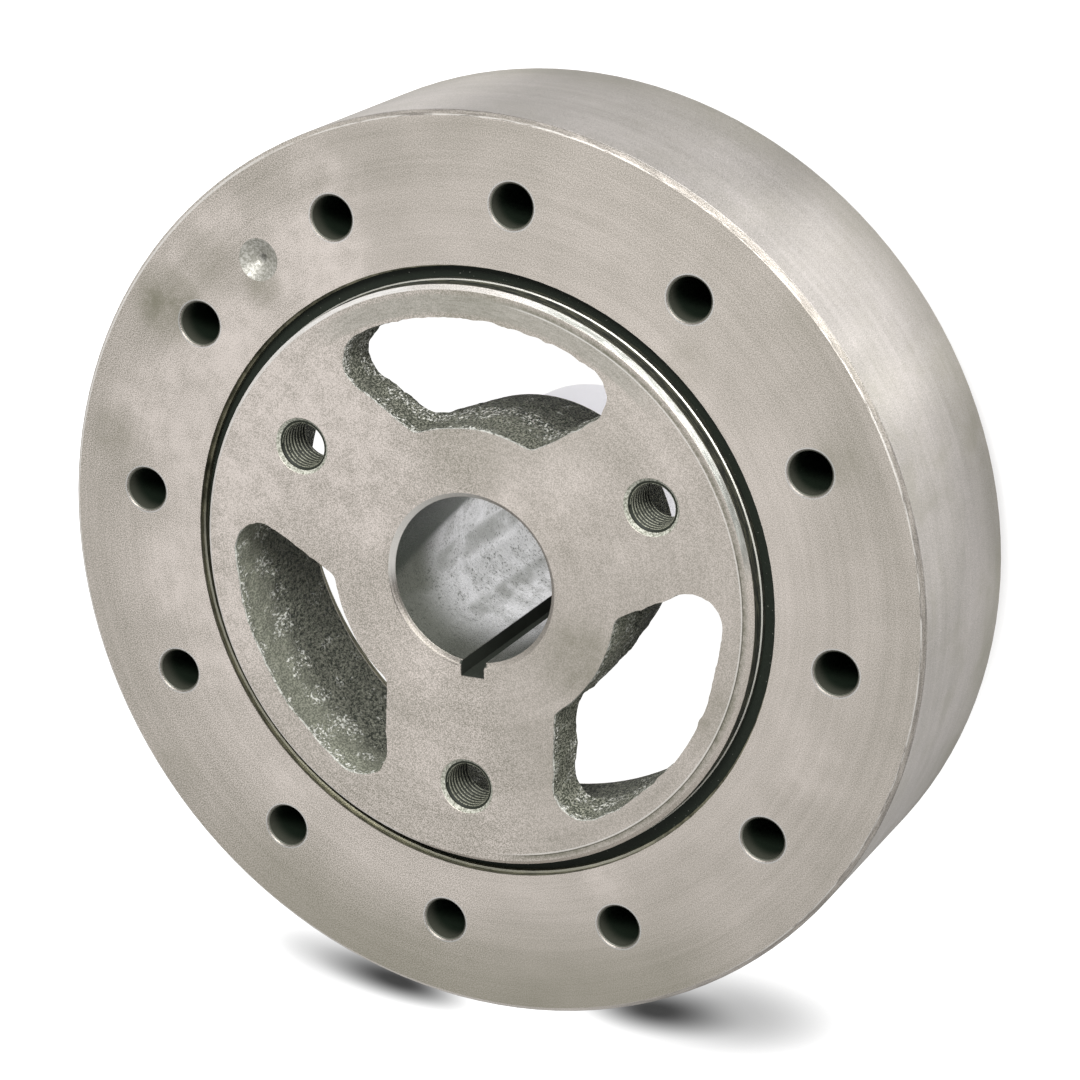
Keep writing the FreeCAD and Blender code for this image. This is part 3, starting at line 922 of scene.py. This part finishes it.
def refine_cast_walls(piece, finest):
    """Halve the long edges of the cast walls until none is longer than the finest length."""
    limit = 16 * finest
    bpy.ops.object.mode_set(mode="EDIT")
    bpy.ops.mesh.select_mode(type="EDGE")
    while limit >= finest:
        bpy.ops.mesh.select_all(action="DESELECT")
        shell = bmesh.from_edit_mesh(piece.data)
        for face in shell.faces:
            if is_cast(face):
                for edge in face.edges:
                    if edge.calc_length() > limit:
                        edge.select_set(True)
        bmesh.update_edit_mesh(piece.data)
        bpy.ops.mesh.subdivide(number_cuts=1)
        bpy.ops.mesh.select_all(action="SELECT")
        bpy.ops.mesh.quads_convert_to_tris(quad_method="BEAUTY", ngon_method="BEAUTY")
        limit /= 2
    bpy.ops.object.mode_set(mode="OBJECT")


def sand_relief(place, sizes):
    """How far the sand left the surface out at a place, and never in, where thin facets would fold."""
    relief = SAND_MEAN
    for lump, height in SAND_LUMPS:
        relief += height * noise.noise(place / (lump * MM))
    return max(relief, 0.0) * sizes.cast_relief


def roughen_cast_walls(piece, sizes):
    """Move the cast walls out; at the front they move along the face, so that only its outline changes."""
    shell = bmesh.new()
    shell.from_mesh(piece.data)
    moves = {}
    for vertex in shell.verts:
        cast = [face for face in vertex.link_faces if is_cast(face)]
        if not cast:
            continue
        on_face = vertex.co.z > FACE_Z - 0.01 * MM
        if len(cast) < len(vertex.link_faces) and not on_face:
            continue
        normal = sum((face.normal * face.calc_area() for face in cast), Vector())
        if on_face:
            normal.z = 0.0
        inner = math.hypot(vertex.co.x, vertex.co.y) < BOSS_SIDE_RADIUS
        calm = BOSS_CALM if on_face and inner else min(1.0, (vertex.co.z - HUB_BACK_Z) / CALM_HEIGHT)
        if normal.length > 0:
            moves[vertex] = normal.normalized() * sand_relief(vertex.co, sizes) * calm
    for vertex, move in moves.items():
        vertex.co += move
    shell.to_mesh(piece.data)
    shell.free()


def slope_ledge(piece):
    """Slope the ledge under the rim's front wall, as the turning tool leaves it."""
    for vertex in piece.data.vertices:
        from_wall = math.hypot(vertex.co.x, vertex.co.y) - RIM_FRONT_RADIUS
        if abs(from_wall) < 0.05 * MM and abs(vertex.co.z - LEDGE_Z) < 0.02 * MM:
            vertex.co.z += LEDGE_SLOPE


class BALANCER_OT_hub_casting(bpy.types.Operator):
    """Make the hub with rough sand-cast windows and give it its turned, honed and cast finish"""
    bl_idname = "balancer.hub_casting"
    bl_label = "Hub casting"

    def execute(self, context):
        sizes = context.scene.balancer_casting
        piece = bpy.data.objects.new("hub_casting", frame["nodes"]["hub"].data.copy())
        context.scene.collection.objects.link(piece)
        piece.data.name = piece.name
        only(piece)
        bpy.ops.mesh.customdata_custom_splitnormals_clear()
        bpy.ops.object.mode_set(mode="EDIT")
        bpy.ops.mesh.select_all(action="SELECT")
        bpy.ops.mesh.remove_doubles(threshold=MERGE_DISTANCE)
        bpy.ops.object.mode_set(mode="OBJECT")
        refine_cast_walls(piece, sizes.finest_edge)
        roughen_cast_walls(piece, sizes)
        slope_ledge(piece)
        bpy.ops.object.shade_smooth_by_angle(angle=math.radians(CASTING_SMOOTH_ANGLE))
        piece.data.materials.clear()
        piece.data.materials.append(hub_material(context.scene.balancer_finish))
        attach(piece, "root")
        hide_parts("hub")
        return {"FINISHED"}


class BALANCER_OT_finish_rubber(bpy.types.Operator):
    """Give the rubber strip its finish"""
    bl_idname = "balancer.finish_rubber"
    bl_label = "Finish rubber strip"

    def execute(self, context):
        dress("elastomer_strip", rubber_material(context.scene.balancer_finish))
        return {"FINISHED"}


def thread_ridge(sizes):
    """One helical ridge on the axis, from the web's back to the countersink, where it runs out."""
    half_root = sizes.pitch * 7 / 16
    half_crest = sizes.pitch / 8
    bpy.ops.object.select_all(action="DESELECT")
    bpy.ops.mesh.primitive_circle_add(vertices=4, radius=half_root, rotation=(math.pi / 2, 0, 0))
    ridge = bpy.context.object
    bpy.ops.object.transform_apply(location=False, rotation=True, scale=False)
    root = PULLEY_HOLE_RADIUS + 0.02 * MM
    crest = PULLEY_HOLE_RADIUS - sizes.height
    corners = [(root, -half_root), (root, half_root), (crest, half_crest), (crest, -half_crest)]
    for vertex, (radius, z) in zip(ridge.data.vertices, corners):
        vertex.co = (radius, 0, z)
    screw = ridge.modifiers.new("turns", "SCREW")
    screw.screw_offset = sizes.pitch
    screw.iterations = math.ceil((FACE_Z - WEB_BACK_Z) / sizes.pitch)
    screw.steps = screw.render_steps = STEPS_PER_TURN
    screw.use_merge_vertices = True
    bpy.ops.object.modifier_apply(modifier=screw.name)
    low = WEB_BACK_Z + half_root
    mouth = FACE_Z - PULLEY_SINK
    for vertex in ridge.data.vertices:
        place = vertex.co.copy()
        place.z += low
        if place.z > mouth:
            run_out = root / math.hypot(place.x, place.y)
            place = Vector((place.x * run_out, place.y * run_out, mouth))
        vertex.co = place
    bpy.ops.object.mode_set(mode="EDIT")
    bpy.ops.mesh.select_all(action="SELECT")
    bpy.ops.mesh.remove_doubles(threshold=MERGE_DISTANCE)
    bpy.ops.mesh.normals_make_consistent(inside=False)
    bpy.ops.object.mode_set(mode="OBJECT")
    bpy.ops.object.shade_smooth_by_angle(angle=math.radians(THREAD_SMOOTH_ANGLE))
    return ridge


class BALANCER_OT_pulley_threads(bpy.types.Operator):
    """Cut the threads in the pulley holes"""
    bl_idname = "balancer.pulley_threads"
    bl_label = "Pulley hole threads"

    def execute(self, context):
        scene = context.scene
        finish = thread_material(scene.balancer_finish)
        for number in range(PULLEY_HOLE_COUNT):
            ridge = thread_ridge(scene.balancer_thread)
            angle = PULLEY_HOLE_ANGLE + number * 360 / PULLEY_HOLE_COUNT
            ridge.location = on_circle(PULLEY_CIRCLE, angle)
            settle(ridge, f"pulley_thread_{number + 1}")
            ridge.data.materials.append(finish)
            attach(ridge, "root")
        return {"FINISHED"}


def soft_lamp(name, azimuth, elevation, size, power):
    """Square soft lamp that looks at the middle of the part."""
    lamp = bpy.data.lights.new(name, "AREA")
    lamp.shape = "SQUARE"
    lamp.size = size
    lamp.energy = power
    holder = bpy.data.objects.new(name, lamp)
    bpy.context.scene.collection.objects.link(holder)
    aim = Vector((0, 0, RING_BACK_Z))
    back = on_circle(math.cos(math.radians(elevation)), azimuth, math.sin(math.radians(elevation)))
    holder.location = aim + back * LAMP_DISTANCE
    holder.rotation_euler = back.to_track_quat("Z", "Y").to_euler()


class BALANCER_OT_studio(bpy.types.Operator):
    """Set the floor, the lamps, the room and the camera"""
    bl_idname = "balancer.studio"
    bl_label = "Studio"

    def execute(self, context):
        studio = context.scene.balancer_studio
        bpy.ops.object.select_all(action="DESELECT")
        bpy.ops.mesh.primitive_plane_add(size=FLOOR_SIZE, location=(0, 0, 0))
        floor = settle(bpy.context.object, "floor")
        floor.data.materials.append(floor_material(studio))
        soft_lamp("lamp_top", 86.0, 50.0, 0.35, studio.key_power)
        soft_lamp("lamp_side", 50.0, 31.0, 0.5, studio.side_power)
        world = bpy.data.worlds.new("room")
        world.use_nodes = True
        sky = world.node_tree.nodes["Background"]
        sky.inputs["Color"].default_value = (1.0, 1.0, 1.0, 1.0)
        sky.inputs["Strength"].default_value = studio.sky_strength
        context.scene.world = world
        context.scene.view_settings.view_transform = "Standard"
        camera = bpy.data.objects.new("camera", bpy.data.cameras.new("camera"))
        context.scene.collection.objects.link(camera)
        camera.data.lens = CAMERA_LENS
        camera.data.sensor_width = CAMERA_SENSOR
        camera.data.clip_start = CAMERA_CLIP
        camera.location = CAMERA_PLACE
        camera.rotation_euler = Euler([math.radians(angle) for angle in CAMERA_TURN], "XYZ")
        context.scene.camera = camera
        return {"FINISHED"}


class BALANCER_PT_sidebar(bpy.types.Panel):
    """Sizes, colours and steps of the harmonic balancer"""
    bl_label = "Harmonic balancer"
    bl_idname = "BALANCER_PT_sidebar"
    bl_space_type = "VIEW_3D"
    bl_region_type = "UI"
    bl_category = "Balancer"

    def draw(self, context):
        for owner, group in GROUPS.items():
            for name in group.__annotations__:
                self.layout.prop(getattr(context.scene, owner), name)
        for step in STEPS:
            self.layout.operator(step.bl_idname)


STEPS = (
    BALANCER_OT_finish_ring,
    BALANCER_OT_hub_casting,
    BALANCER_OT_finish_rubber,
    BALANCER_OT_pulley_threads,
    BALANCER_OT_studio,
)
GROUPS = {
    "balancer_finish": BALANCER_PG_finish,
    "balancer_casting": BALANCER_PG_casting,
    "balancer_thread": BALANCER_PG_thread,
    "balancer_studio": BALANCER_PG_studio,
}
CLASSES = (*GROUPS.values(), *STEPS, BALANCER_PT_sidebar)


def register():
    for item in CLASSES:
        bpy.utils.register_class(item)
    for name, group in GROUPS.items():
        setattr(bpy.types.Scene, name, PointerProperty(type=group))


def unregister():
    for name in GROUPS:
        delattr(bpy.types.Scene, name)
    for item in reversed(CLASSES):
        bpy.utils.unregister_class(item)


def main():
    """Make every piece and the stage."""
    register()
    bpy.ops.balancer.finish_ring()
    bpy.ops.balancer.hub_casting()
    bpy.ops.balancer.finish_rubber()
    bpy.ops.balancer.pulley_threads()
    bpy.ops.balancer.studio()


if __name__ == "__main__":
    main()
